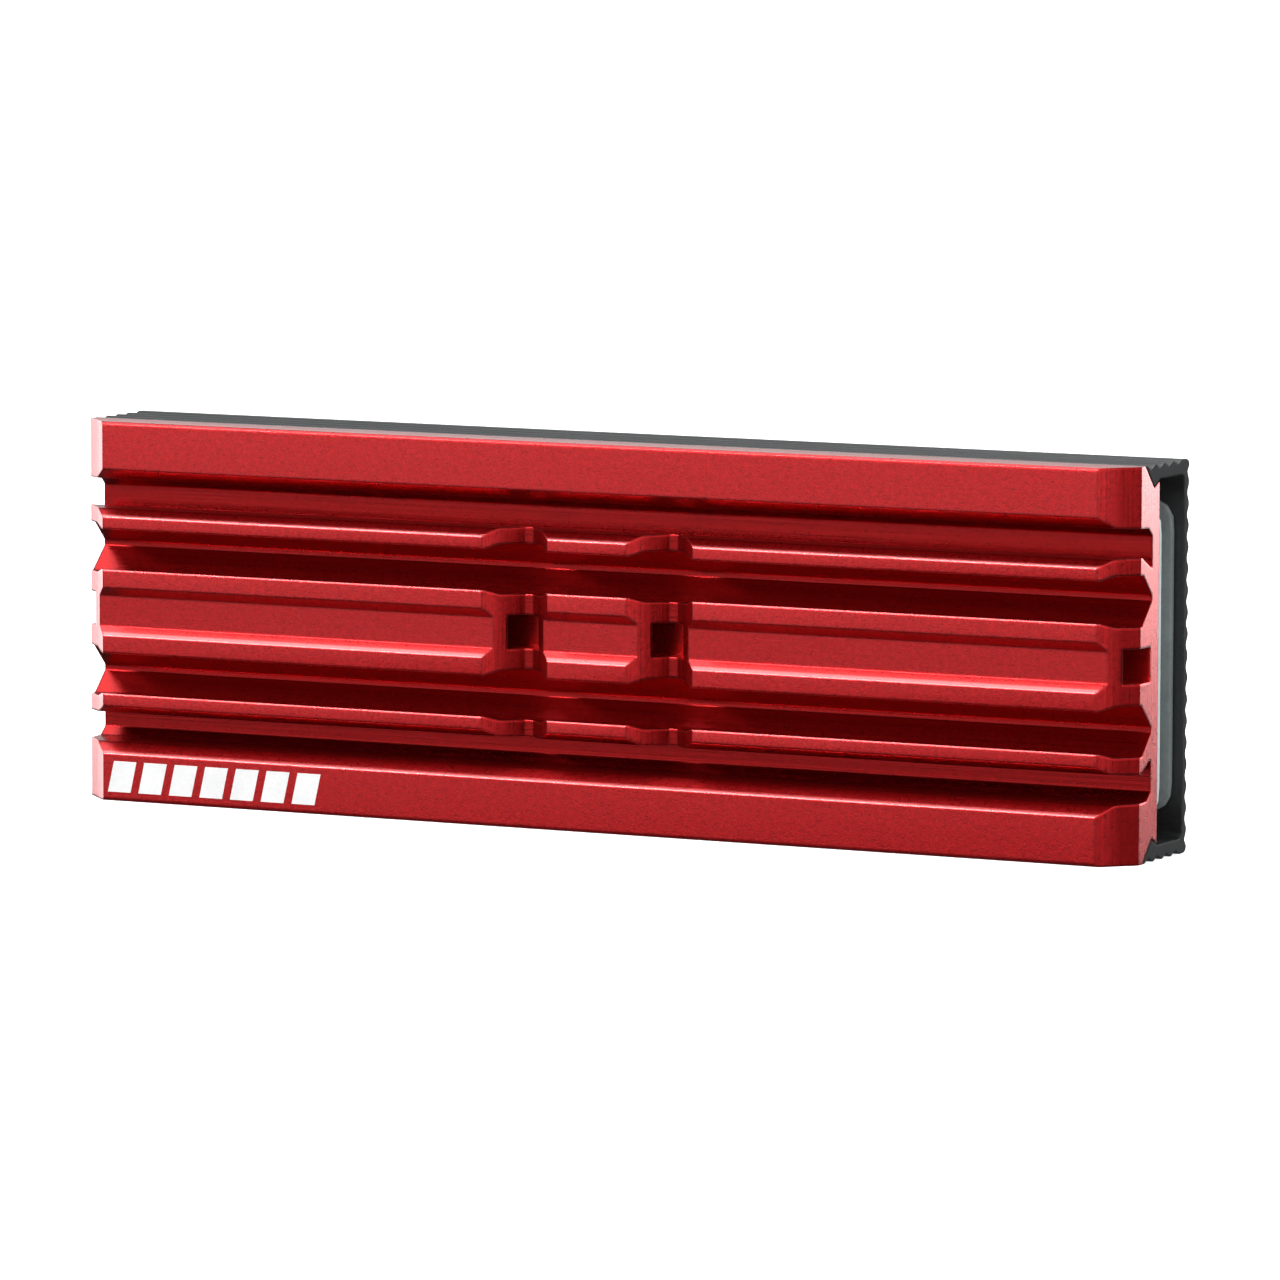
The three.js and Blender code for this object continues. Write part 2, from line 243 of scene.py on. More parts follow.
def anodised(
    name, light, dark, edge, metallic, roughness, coat, shine, cut_roughness,
    groove_shade, tunnel=None, crest_highlight=None, blasted_to=BLASTED_TO,
):
    """Anodised aluminium: bead-blasted outer faces, die lines along the grooves, milled slopes.

    The blasted grain fades into lengthwise die lines behind the depth blasted_to. Coat is
    for the outer faces, the grooves and the cut ends; shine is for the faces and the cut ends.
    The colours given: one darkened into the grooves as painted shade, a brighter one painted on
    the tunnel walls as painted light, one along every sharp edge as a painted highlight, and one
    along the fin tips' upward-facing edges as a painted highlight.
    """
    material, tree, shader = new_material(name, metallic, Coat_Roughness=0.19)
    cut_end = mask_between(tree, facing(tree, "X"), 0.82, 0.92)
    tree.links.new(spread(tree, cut_end, *shine, 0.0, 1.0), shader.inputs["Specular IOR Level"])
    grain = noise(tree, 9000.0, 2.0, 0.7)
    mottle = noise(tree, 3200.0, 3.0, 0.65)
    die_lines = noise(tree, 5200.0, 3.0, 0.65, (0.008, 1.0, 1.0))
    milling = noise(tree, 7000.0, 2.0, 0.6, (1.0, 1.0, 0.015))
    in_groove = mask_between(tree, along(tree, "Y"), blasted_to, blasted_to + 0.8 * MM)
    face_coat = spread(tree, in_groove, coat[0], coat[1], 0.0, 1.0)
    end_coat = (coat[2],) * 3
    tree.links.new(mixed(tree, cut_end, face_coat, end_coat), shader.inputs["Coat Weight"])
    milled = mask_between(tree, facing(tree, "X"), 0.5, 0.6)
    surface = mixed(tree, in_groove, grain, die_lines)
    surface = mixed(tree, milled, surface, milling)
    tone = mixed(tree, 0.5, surface, mottle)
    colour = ramp(tree, tone, [(0.38, dark), (0.6, light)])
    # Painted shade: the colour is darkened in the grooves, behind blasted_to, where less light
    # reaches.
    colour = mixed(tree, spread(tree, in_groove, 0.0, 0.66, 0.0, 1.0), colour, groove_shade)
    # Painted light: a brighter red painted on the tunnel walls, in place of the painted shade of
    # the grooves.
    if tunnel:
        colour = mixed(tree, tunnel_amount(tree), colour, tunnel)
    # Painted highlight: a paler, pinker colour painted along every sharp edge.
    colour = mixed(tree, edge_amount(tree, 0.09 * MM), colour, edge)
    # Painted highlight: a pale pink painted on the fin tips' edges that face up, towards the
    # lights.
    if crest_highlight:
        colour = mixed(tree, crest_highlight_amount(tree, 0.14 * MM), colour, crest_highlight)
    tree.links.new(colour, shader.inputs["Base Color"])
    worn = spread(tree, mixed(tree, 0.5, mottle, surface), *roughness)
    matt = spread(tree, mottle, cut_roughness - 0.05, cut_roughness + 0.05)
    tree.links.new(mixed(tree, cut_end, worn, matt), shader.inputs["Roughness"])
    bumped(tree, shader, [(mottle, 0.012 * MM, 0.6), (surface, 0.025 * MM, 0.8)], 0.2 * MM)
    return material


def soft_pad(name, light, dark):
    """Silicone thermal pad: chalky, slightly blotched, with a fine tooth."""
    material, tree, shader = new_material(name, Specular_IOR_Level=0.3)
    grain = noise(tree, 4200.0, 3.0, 0.7)
    blotch = noise(tree, 350.0, 4.0, 0.6)
    colour = ramp(tree, mixed(tree, 0.4, blotch, grain), [(0.35, dark), (0.65, light)])
    tree.links.new(colour, shader.inputs["Base Color"])
    tree.links.new(spread(tree, grain, 0.75, 0.95), shader.inputs["Roughness"])
    bumped(tree, shader, [(blotch, 0.05 * MM, 0.5), (grain, 0.02 * MM, 0.8)])
    return material


def solder_mask(name):
    """Board laminate: glossy mask over a glass weave, and bare resin and fibre on the cut edges."""
    material, tree, shader = new_material(name)
    weave = noise(tree, 1600.0, 2.0, 0.5, (1.0, 1.0, 0.25))
    cross = noise(tree, 1600.0, 2.0, 0.5, (0.25, 1.0, 1.0))
    layers = noise(tree, 9000.0, 2.0, 0.5, (0.1, 1.0, 0.1))
    tone = mixed(tree, 0.5, weave, cross)
    mask = ramp(tree, tone, [(0.38, (0.005, 0.008, 0.009)), (0.62, (0.014, 0.021, 0.022))])
    fibre = ramp(tree, layers, [(0.35, (0.09, 0.075, 0.04)), (0.65, (0.2, 0.17, 0.1))])
    cut_edge = mask_between(tree, facing(tree, "Y"), 0.6, 0.5)
    tree.links.new(mixed(tree, cut_edge, mask, fibre), shader.inputs["Base Color"])
    roughness = spread(tree, mixed(tree, cut_edge, tone, layers), 0.28, 0.5)
    tree.links.new(roughness, shader.inputs["Roughness"])
    bumped(tree, shader, [(tone, 0.015 * MM, 0.5), (layers, 0.01 * MM, 0.3)])
    return material


def plated(name, light, dark, roughness):
    """Plating: lightly brushed along X, with a faint stain."""
    material, tree, shader = new_material(name, 1.0)
    brushing = noise(tree, 2600.0, 3.0, 0.6, (0.08, 1.0, 1.0))
    stain = noise(tree, 500.0, 3.0, 0.6)
    tree.links.new(ramp(tree, stain, [(0.35, dark), (0.6, light)]), shader.inputs["Base Color"])
    tree.links.new(spread(tree, brushing, *roughness), shader.inputs["Roughness"])
    bumped(tree, shader, [(brushing, 0.008 * MM, 0.6)])
    return material


def moulded(name, light, dark, roughness):
    """Moulding compound, ferrite or fired ceramic: fine even grain with a slightly paler edge."""
    material, tree, shader = new_material(name)
    grain = noise(tree, 5200.0, 3.0, 0.7)
    cloud = noise(tree, 420.0, 3.0, 0.6)
    colour = ramp(tree, mixed(tree, 0.5, grain, cloud), [(0.38, dark), (0.62, light)])
    pale = tuple(min(1.0, c * 2.2 + 0.01) for c in light)
    colour = mixed(tree, edge_amount(tree, 0.06 * MM), colour, pale)
    tree.links.new(colour, shader.inputs["Base Color"])
    tree.links.new(spread(tree, cloud, *roughness), shader.inputs["Roughness"])
    bumped(tree, shader, [(grain, 0.015 * MM, 0.7)])
    return material


MATERIALS = {
    "red_anodised": anodised(
        "red_anodised",
        light=(0.66, 0.014, 0.017),
        dark=(0.46, 0.006, 0.009),
        edge=(0.88, 0.11, 0.115),
        metallic=0.88,
        roughness=(0.25, 0.34),
        coat=(0.42, 0.12, 0.65),
        shine=(0.5, 0.5),
        cut_roughness=0.3,
        groove_shade=(0.2, 0.0, 0.0),
        tunnel=(0.92, 0.02, 0.02),
        crest_highlight=(0.92, 0.145, 0.15),
    ),
    "black_anodised": anodised(
        "black_anodised",
        light=(0.034, 0.037, 0.038),
        dark=(0.018, 0.02, 0.021),
        edge=(0.05, 0.053, 0.054),
        metallic=0.12,
        roughness=(0.3, 0.42),
        coat=(0.3, 0.3, 0.0),
        shine=(0.5, 0.08),
        cut_roughness=0.75,
        groove_shade=(0.03, 0.033, 0.034),
        blasted_to=BLASTED_NOWHERE,
    ),
    "pale_pad": soft_pad("pale_pad", (0.72, 0.77, 0.78), (0.6, 0.65, 0.66)),
    "grey_pad": soft_pad("grey_pad", (0.34, 0.38, 0.38), (0.25, 0.28, 0.28)),
    "laminate": solder_mask("laminate"),
    "gold_plating": plated("gold_plating", (0.83, 0.56, 0.22), (0.6, 0.38, 0.14), (0.18, 0.35)),
    "nickel": plated("nickel", (0.62, 0.61, 0.58), (0.46, 0.45, 0.43), (0.22, 0.4)),
    "mould_compound": moulded(
        "mould_compound", (0.022, 0.022, 0.024), (0.012, 0.012, 0.013), (0.45, 0.65)
    ),
    "ferrite": moulded("ferrite", (0.075, 0.075, 0.08), (0.04, 0.04, 0.043), (0.6, 0.8)),
    "dielectric": moulded("dielectric", (0.36, 0.22, 0.12), (0.25, 0.15, 0.08), (0.35, 0.5)),
    "label_film": moulded("label_film", (0.4, 0.42, 0.44), (0.34, 0.36, 0.38), (0.3, 0.42)),
}
WHITE_PRINT = moulded("white_print", (0.95, 0.95, 0.95), (0.87, 0.87, 0.87), (0.45, 0.6))
LASER_MARK = moulded("laser_mark", (0.2, 0.2, 0.2), (0.12, 0.12, 0.12), (0.6, 0.75))
TRACE_MASK = moulded("trace_mask", (0.02, 0.032, 0.033), (0.014, 0.022, 0.023), (0.25, 0.38))


def dress_nodes():
    """Gives every CAD node its slot's material."""
    for row in frame["record"]["subparts"]:
        piece = NODES[row["node"]]
        piece.data.materials.clear()
        piece.data.materials.append(MATERIALS[row["material_slot"]])


# ---------------------------------------------------------------- shading

SMOOTH_BELOW = 35.0


def angle_shading():
    """A modifier that shades smoothly across edges flatter than SMOOTH_BELOW degrees."""
    group = bpy.data.node_groups.new("angle_shading", "GeometryNodeTree")
    group.interface.new_socket("Geometry", in_out="INPUT", socket_type="NodeSocketGeometry")
    group.interface.new_socket("Geometry", in_out="OUTPUT", socket_type="NodeSocketGeometry")
    start, end = add(group, "NodeGroupInput"), add(group, "NodeGroupOutput")
    weld = add(group, "GeometryNodeMergeByDistance")
    weld.inputs["Distance"].default_value = 1e-6
    smooth = add(group, "GeometryNodeSetShadeSmooth", domain="FACE")
    sharp = add(group, "GeometryNodeSetShadeSmooth", domain="EDGE")
    sharp.inputs["Shade Smooth"].default_value = False
    angle = add(group, "GeometryNodeInputMeshEdgeAngle")
    steep = add(group, "FunctionNodeCompare", data_type="FLOAT", operation="GREATER_THAN")
    steep.inputs["B"].default_value = math.radians(SMOOTH_BELOW)
    link = group.links.new
    link(start.outputs[0], weld.inputs["Geometry"])
    link(weld.outputs["Geometry"], smooth.inputs["Geometry"])
    link(smooth.outputs["Geometry"], sharp.inputs["Geometry"])
    link(angle.outputs["Unsigned Angle"], steep.inputs["A"])
    link(steep.outputs["Result"], sharp.inputs["Selection"])
    link(sharp.outputs["Geometry"], end.inputs[0])
    return group


ANGLE_SHADING = angle_shading()


def shade(piece):
    """Smooth fillets beside flat faces that stay flat."""
    piece.modifiers.new("angle_shading", "NODES").node_group = ANGLE_SHADING
    weighted = piece.modifiers.new("weighted", "WEIGHTED_NORMAL")
    weighted.keep_sharp = True
    weighted.weight = 100


def shade_nodes():
    """Shades every CAD node."""
    for name in NODES.keys():
        shade(NODES[name])


# ---------------------------------------------------------------- building pieces

def new_piece(name, bm, body, material, smooth=False):
    """Turns a bmesh into a finished piece that rides on a body."""
    bmesh.ops.recalc_face_normals(bm, faces=bm.faces)
    mesh = bpy.data.meshes.new(name)
    bm.to_mesh(mesh)
    bm.free()
    mesh.materials.append(material)
    piece = bpy.data.objects.new(name, mesh)
    bpy.context.scene.collection.objects.link(piece)
    if smooth:
        mesh.polygons.foreach_set("use_smooth", [True] * len(mesh.polygons))
    else:
        shade(piece)
    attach(piece, body)
    return piece


def add_block(bm, low, high, radius, segments=2):
    """A box between two corners with rounded edges, added to a bmesh."""
    low, high = Vector(low), Vector(high)
    made = bmesh.ops.create_cube(bm, size=1.0)["verts"]
    for vertex in made:
        vertex.co = Vector(low[i] + (vertex.co[i] + 0.5) * (high[i] - low[i]) for i in range(3))
    edges = list({edge for vertex in made for edge in vertex.link_edges})
    bmesh.ops.bevel(bm, geom=edges, offset=radius, segments=segments, profile=0.5, affect="EDGES")


def add_prism(bm, outline, front, back):
    """A closed outline of (x, z) points between two y values."""
    first = [bm.verts.new((x, front, z)) for x, z in outline]
    second = [bm.verts.new((x, back, z)) for x, z in outline]
    bm.faces.new(first)
    bm.faces.new(second[::-1])
    for i in range(len(outline)):
        j = (i + 1) % len(outline)
        bm.faces.new((first[j], first[i], second[i], second[j]))


def add_disc(bm, centre, radius, front, back, sides=20):
    """A round outline about an (x, z) centre, between two y values."""
    x, z = centre
    turns = [2 * math.pi * i / sides for i in range(sides)]
    outline = [(x + radius * math.cos(t), z + radius * math.sin(t)) for t in turns]
    add_prism(bm, outline, front, back)


def add_bar(bm, x, z, length, thick, front, back):
    """An upright rectangle from one corner, between two y values. Its sides may be negative."""
    outline = [(x, z), (x + length, z), (x + length, z + thick), (x, z + thick)]
    add_prism(bm, outline, front, back)


# ---------------------------------------------------------------- thermal pads

PAD_CORNER = 1.5 * MM
PAD_SWELL = 0.035 * MM
PAD_EDGE = 0.12 * MM
EDGE_STEPS = (0.0, 0.015 * MM, 0.045 * MM, 0.08 * MM, 0.12 * MM)


def grid_lines(low, high, step):
    """Even lines between two ends, with close ones near each end for the rounded edge."""
    count = round((high - low - 2 * PAD_EDGE) / step)
    inner = [low + PAD_EDGE + (high - low - 2 * PAD_EDGE) * i / count for i in range(1, count)]
    return [low + e for e in EDGE_STEPS] + inner + [high - e for e in reversed(EDGE_STEPS)]


def onto_corner(x, z, low, high, radius):
    """Draws a point beyond a corner's arc back towards the arc's centre."""
    cx = min(max(x, low[0] + radius), high[0] - radius)
    cz = min(max(z, low[2] + radius), high[2] - radius)
    dx, dz = x - cx, z - cz
    if dx == 0 or dz == 0:
        return x, z
    reach = max(abs(dx), abs(dz)) / math.hypot(dx, dz)
    return cx + dx * reach, cz + dz * reach


def add_soft_pad(node, inner_side, pressed_by, slot, body, reach=0.0):
    """A soft pad: rolled edges, and a face pressed flat by the chips and swelling between them.

    Inner_side is the side of Y that the chips press on, and reach draws both ends out.
    """
    low, high = (list(point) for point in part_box(node))
    low[0], high[0] = low[0] - reach, high[0] + reach
    middle, half = (low[1] + high[1]) / 2, (high[1] - low[1]) / 2
    presses = [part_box(name) for name in pressed_by]
    bm = bmesh.new()
    xs, zs = grid_lines(low[0], high[0], 1.0 * MM), grid_lines(low[2], high[2], 0.9 * MM)

    def edge_distance(i, j):
        """How far a grid point is from the pad's nearest edge."""
        return min(xs[i] - xs[0], xs[-1] - xs[i], zs[j] - zs[0], zs[-1] - zs[j])

    def gap_to(press, x, z):
        """How far a point is from a pressing part's outline."""
        a, b = press
        return math.hypot(max(a[0] - x, 0, x - b[0]), max(a[2] - z, 0, z - b[2]))

    def height(i, j, x, z, side):
        """The y of a grid point on one side of the pad."""
        rolled = 1 - min(edge_distance(i, j) / PAD_EDGE, 1.0)
        level = half * (1 - 0.3 * (1 - math.sqrt(1 - rolled ** 2)))
        if side == inner_side and rolled == 0:
            clear = min(gap_to(press, x, z) for press in presses)
            wave = 0.5 + 0.5 * mathutils.noise.noise(Vector((x, z, 0.3)) * 420.0)
            level += PAD_SWELL * min(clear / (0.8 * MM), 1.0) * wave
        return middle + side * level

    faces = []
    for side in (-1, 1):
        rows = []
        for i in range(len(xs)):
            row = []
            for j in range(len(zs)):
                x, z = onto_corner(xs[i], zs[j], low, high, PAD_CORNER)
                row.append(bm.verts.new((x, height(i, j, x, z, side), z)))
            rows.append(row)
        for i in range(len(xs) - 1):
            for j in range(len(zs) - 1):
                bm.faces.new((rows[i][j], rows[i + 1][j], rows[i + 1][j + 1], rows[i][j + 1]))
        faces.append(rows)
    last_i, last_j = len(xs) - 1, len(zs) - 1
    ring = [(i, 0) for i in range(last_i)] + [(last_i, j) for j in range(last_j)]
    ring += [(i, last_j) for i in range(last_i, 0, -1)] + [(0, j) for j in range(last_j, 0, -1)]
    for k, (i, j) in enumerate(ring):
        m, n = ring[(k + 1) % len(ring)]
        bm.faces.new((faces[0][i][j], faces[0][m][n], faces[1][m][n], faces[1][i][j]))
    piece = new_piece("soft_" + node, bm, body, MATERIALS[slot], smooth=True)
    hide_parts(node)


def add_pads():
    """The pad under the heatsink, drawn out to show at its ends, and the pad in the tray."""
    chips = ["flash_memory_1", "flash_memory_2", "buffer_memory", "controller_lid"]
    add_soft_pad("upper_pad", 1, chips, "pale_pad", "heatsink_body", reach=0.07 * MM)
    add_soft_pad("lower_pad", -1, ["back_label"], "grey_pad", "tray_body")


# ---------------------------------------------------------------- print on the lowest fin

PRINTED_BARS = 7
PRINT_START = 2.4 * MM
PRINT_PITCH = 2.25 * MM
PRINT_WIDTH = 1.66 * MM
PRINT_SLANT = 0.45 * MM
PRINT_FOOT = 0.6 * MM
PRINT_HEAD = 2.6 * MM


def add_print():
    """A plain row of slanted bars where such a casing carries its print."""
    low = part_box("heatsink")[0]
    foot, head = low[2] + PRINT_FOOT, low[2] + PRINT_HEAD
    bm = bmesh.new()
    for i in range(PRINTED_BARS):
        left = low[0] + PRINT_START + PRINT_PITCH * i
        right = left + PRINT_WIDTH
        bar = [(left, foot), (right, foot), (right + PRINT_SLANT, head), (left + PRINT_SLANT, head)]
        add_prism(bm, bar, low[1] - 0.012 * MM, low[1] + 0.02 * MM)
    new_piece("printed_bars", bm, "heatsink_body", WHITE_PRINT)


# ---------------------------------------------------------------- drive details

BOARD_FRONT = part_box("drive_board")[0][1]
BOARD_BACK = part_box("drive_board")[1][1]
LARGE_CHIPS = ("flash_memory_1", "flash_memory_2", "buffer_memory")


def is_on_front(low):
    """Whether a part with this low corner stands on the board's front."""
    return low[1] < BOARD_FRONT - 0.01 * MM


def longer_way(low, high):
    """The longer of a part's two axes in the board's plane: 0 for X and 2 for Z."""
    return 0 if high[0] - low[0] >= high[2] - low[2] else 2


def terminals_for(bm, name, share, proud=0.02 * MM):
    """Metal caps round both ends of a small part, each a share of its longer way."""
    low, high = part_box(name)
    way = longer_way(low, high)
    reach = (high[way] - low[way]) * share
    for at_low in (True, False):
        first = [low[i] - proud for i in range(3)]
        second = [high[i] + proud for i in range(3)]
        if at_low:
            second[way] = low[way] + reach
        else:
            first[way] = high[way] - reach
        if is_on_front(low):
            second[1] = high[1]
        else:
            first[1] = low[1]
        add_block(bm, first, second, 0.03 * MM)


def solder_for(bm, name, reach=0.16 * MM, climb=0.55):
    """Hollow-sided solder ramps from the board up a share of a part's two ends."""
    low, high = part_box(name)
    way = longer_way(low, high)
    other = 2 - way
    board, out = (BOARD_FRONT, -1) if is_on_front(low) else (BOARD_BACK, 1)
    rise = out * (high[1] - low[1]) * climb
    for end, sign in ((low[way], -1), (high[way], 1)):
        inner = end - sign * 0.05 * MM
        profile = [
            (inner, board),
            (end + sign * reach, board),
            (end + sign * reach * 0.55, board + rise * 0.22),
            (end + sign * reach * 0.25, board + rise * 0.6),
            (inner, board + rise),
        ]
        rings = []
        for across in (low[other] + 0.02 * MM, high[other] - 0.02 * MM):
            ring = []
            for a, y in profile:
                place = [0.0, y, 0.0]
                place[way], place[other] = a, across
                ring.append(bm.verts.new(place))
            rings.append(ring)
        bm.faces.new(rings[0])
        bm.faces.new(rings[1][::-1])
        for i in range(len(profile)):
            j = (i + 1) % len(profile)
            bm.faces.new((rings[0][j], rings[0][i], rings[1][i], rings[1][j]))


def nodes_called(*starts):
    """The CAD nodes whose names start in one of these ways."""
    return [name for name in NODES.keys() if name.startswith(starts)]


def add_terminals():
    """End caps and solder on the capacitors, resistors and inductors."""
    small = nodes_called("capacitor_", "back_capacitor_", "resistor_")
    caps, solder = bmesh.new(), bmesh.new()
    for name in small:
        terminals_for(caps, name, 0.22)
        solder_for(solder, name)
    for name in nodes_called("inductor_"):
        terminals_for(caps, name, 0.16, 0.015 * MM)
        solder_for(solder, name, 0.2 * MM, 0.4)
    new_piece("part_terminals", caps, "drive_body", MATERIALS["nickel"])
    new_piece("solder_ramps", solder, "drive_body", MATERIALS["nickel"])


def add_chip_legs():
    """Flat leads on all four sides of the power chip and the load switch."""
    bm = bmesh.new()
    for name, count in (("power_chip", 6), ("load_switch", 3)):
        low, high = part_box(name)
        for way, other in ((0, 2), (2, 0)):
            pitch = (high[other] - low[other] - 0.5 * MM) / (count - 1)
            for i in range(count):
                middle = low[other] + 0.25 * MM + i * pitch
                for face, sign in ((low[way], -1), (high[way], 1)):
                    first, second = [0.0, BOARD_FRONT - 0.2 * MM, 0.0], [0.0, BOARD_FRONT, 0.0]
                    first[other], second[other] = middle - 0.12 * MM, middle + 0.12 * MM
                    ends = sorted((face - sign * 0.1 * MM, face + sign * 0.14 * MM))
                    first[way], second[way] = ends
                    add_block(bm, first, second, 0.02 * MM, 1)
    new_piece("chip_leads", bm, "drive_body", MATERIALS["nickel"])


def add_chip_marks():
    """Laser-marked plain bars and a pin-one dot on each large package."""
    bm = bmesh.new()
    lengths = ((0.3, 0.18, 0.12), (0.14, 0.36), (0.22, 0.1, 0.2), (0.4, 0.1))
    for name in (*LARGE_CHIPS, "power_chip"):
        low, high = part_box(name)
        width, height = high[0] - low[0], high[2] - low[2]
        front, back = low[1] - 0.006 * MM, low[1] + 0.01 * MM
        rows = 4 if height > 8 * MM else 2
        for row in range(rows):
            z = low[2] + height * (0.3 + 0.42 * row / rows)
            thick = min(0.55 * MM, height * 0.07)
            x = low[0] + width * 0.16
            for length in lengths[row]:
                add_bar(bm, x, z, width * length, thick, front, back)
                x += width * (length + 0.05)
        dot = min(0.4 * MM, width * 0.06)
        add_disc(bm, (low[0] + width * 0.12, high[2] - height * 0.08), dot, front, back)
    new_piece("laser_marks", bm, "drive_body", LASER_MARK)


def add_controller_lid():
    """The controller's metal lid: a raised middle inside a lower rim."""
    low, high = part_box("controller_lid")
    bm = bmesh.new()
    rim, step = 0.75 * MM, 0.12 * MM
    middle_low = (low[0] + rim, low[1], low[2] + rim)
    middle_high = (high[0] - rim, high[1], high[2] - rim)
    add_block(bm, (low[0], low[1] + step, low[2]), high, 0.1 * MM, 3)
    add_block(bm, middle_low, middle_high, 0.11 * MM, 3)
    lid = new_piece("pressed_lid", bm, "drive_body", MATERIALS["nickel"])
    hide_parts("controller_lid")


def add_run(bm, points, width=0.11 * MM):
    """A copper run through (x, z) points on the board's front."""
    for (x1, z1), (x2, z2) in zip(points, points[1:]):
        length = math.hypot(x2 - x1, z2 - z1)
        ax, az = (x2 - x1) / length * width / 2, (z2 - z1) / length * width / 2
        outline = [
            (x1 - ax - az, z1 - az + ax),
            (x2 + ax - az, z2 + az + ax),
            (x2 + ax + az, z2 + az - ax),
            (x1 - ax + az, z1 - az - ax),
        ]
        add_prism(bm, outline, BOARD_FRONT - 0.012 * MM, BOARD_FRONT + 0.02 * MM)


def add_traces():
    """Copper runs under the solder mask: at the contacts, between packages and along the edges."""
    low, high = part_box("drive_board")
    middle = (low[2] + high[2]) / 2
    bm = bmesh.new()

    for i in range(12):
        z = middle + (-4.75 + 0.5 * i) * MM
        end = low[0] + (5.2 + 0.35 * (i % 3)) * MM
        turn = (0.9 if i > 5 else -0.5) * MM
        add_run(bm, [(low[0] + 2.5 * MM, z), (end, z), (end + 2.6 * MM, z + turn)])
    for i in range(14):
        z = middle + (-3.4 + 0.52 * i) * MM
        start, stop, foot = low[0] + 21.4 * MM, low[0] + 22.6 * MM, z - 0.45 * MM
        add_run(bm, [(start, z), (start + 0.35 * MM, z), (stop - 0.3 * MM, foot), (stop, foot)])
    for i in range(4):
        z = high[2] - (0.7 + 0.3 * i) * MM
        add_run(bm, [(low[0] + 12 * MM, z), (low[0] + (40 + 3 * i) * MM, z)], 0.14 * MM)
        z = low[2] + (0.7 + 0.3 * i) * MM
        add_run(bm, [(low[0] + 20 * MM, z), (low[0] + (55 - 3 * i) * MM, z)], 0.14 * MM)
    new_piece("masked_traces", bm, "drive_body", TRACE_MASK)


def add_vias():
    """Plated rings along both long edges, on both sides of the board."""
    low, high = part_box("drive_board")
    rings = bmesh.new()
    for i in range(46):
        x = low[0] + (5.5 + (i * 7.31) % 52) * MM
        if i % 4 < 2:
            z = high[2] - (0.45 + 0.9 * (i % 2)) * MM
        else:
            z = low[2] + (0.5 + 0.8 * (i % 2)) * MM
        add_disc(rings, (x, z), 0.17 * MM, BOARD_FRONT - 0.016 * MM, BOARD_FRONT + 0.01 * MM, 12)
        add_disc(rings, (x, z), 0.17 * MM, BOARD_BACK - 0.01 * MM, BOARD_BACK + 0.016 * MM, 12)
    new_piece("via_rings", rings, "drive_body", MATERIALS["gold_plating"])


def add_outlines():
    """Printed white corner marks round the packages on the board."""
    bm = bmesh.new()
    front, back = BOARD_FRONT - 0.014 * MM, BOARD_FRONT + 0.01 * MM
    gap, arm, line = 0.14 * MM, 0.9 * MM, 0.1 * MM
    for name in (*LARGE_CHIPS, "controller", "power_chip"):
        low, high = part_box(name)
        for x, sx in ((low[0] - gap, 1), (high[0] + gap, -1)):
            for z, sz in ((low[2] - gap, 1), (high[2] + gap, -1)):
                add_bar(bm, x, z, sx * arm, -sz * line, front, back)
                add_bar(bm, x, z, -sx * line, sz * arm, front, back)
    new_piece("printed_corners", bm, "drive_body", WHITE_PRINT)


def add_label_print():
    """Plain bars and rules on the back label."""
    low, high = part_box("back_label")
    bm = bmesh.new()
    front, back = high[1] - 0.01 * MM, high[1] + 0.008 * MM

    def bar(x, z, length, thick):
        """A bar placed in mm from the label's lower corner."""
        add_bar(bm, low[0] + x * MM, low[2] + z * MM, length * MM, thick * MM, front, back)

    for row, lengths in enumerate(((9, 4, 5), (6, 3, 7), (12, 3), (5, 5, 4), (7, 8))):
        x = 3.0
        for length in lengths:
            bar(x, 13.6 - 2.1 * row, length, 0.9)
            x += length + 0.9
    for i in range(22):
        bar(25.5 + 0.72 * i, 9.0, 0.22 + 0.2 * ((i * 7) % 3), 5.4)
    bar(25.5, 3.2, 15.5, 0.5)
    bar(25.5, 5.2, 11.0, 0.5)
    new_piece("label_bars", bm, "drive_body", MATERIALS["mould_compound"])


# ---------------------------------------------------------------- studio

LIT_POINT = Vector((0.0, 0.0, 0.012))
WORLD_DIM = (0.09, 0.09, 0.09)
WORLD_PALE = (0.24, 0.24, 0.24)
FLOOR_PROFILE = [(0.5, 0.0), (1.7, 0.0), (2.05, 0.1), (2.25, 0.35), (2.35, 0.8), (2.35, 2.5)]
FLOOR_SIDES = 48


def camera_matrix():
    """Where the camera stands, with its roll about its own line of sight."""
    azimuth, elevation, roll = (math.radians(v) for v in (AZIMUTH, ELEVATION, ROLL))
    forward = Vector((
        -math.sin(azimuth) * math.cos(elevation),
        math.cos(azimuth) * math.cos(elevation),
        -math.sin(elevation),
    ))
    level = forward.cross(Vector((0, 0, 1))).normalized()
    upright = level.cross(forward)
    right = math.cos(roll) * level + math.sin(roll) * upright
    up = math.cos(roll) * upright - math.sin(roll) * level
    matrix = Matrix((right, up, -forward)).transposed().to_4x4()
    matrix.translation = TARGET - forward * DISTANCE
    return matrix


def add_camera():
    """The photo's camera."""
    data = bpy.data.cameras.new("camera")
    data.lens = FOCAL_LENGTH
    data.sensor_width = SENSOR_WIDTH
    data.clip_start = 0.01
    camera = bpy.data.objects.new("camera", data)
    camera.matrix_world = camera_matrix()
    bpy.context.scene.collection.objects.link(camera)
    bpy.context.scene.camera = camera


def add_panel(name, place, size, power):
    """A soft panel, in metres and watts, turned to the casing's middle."""
    data = bpy.data.lights.new(name, "AREA")
    data.shape = "RECTANGLE"
    data.size, data.size_y = size
    data.energy = power
    panel = bpy.data.objects.new(name, data)
    panel.location = place
    panel.rotation_euler = (LIT_POINT - Vector(place)).to_track_quat("-Z", "Y").to_euler()
    bpy.context.scene.collection.objects.link(panel)


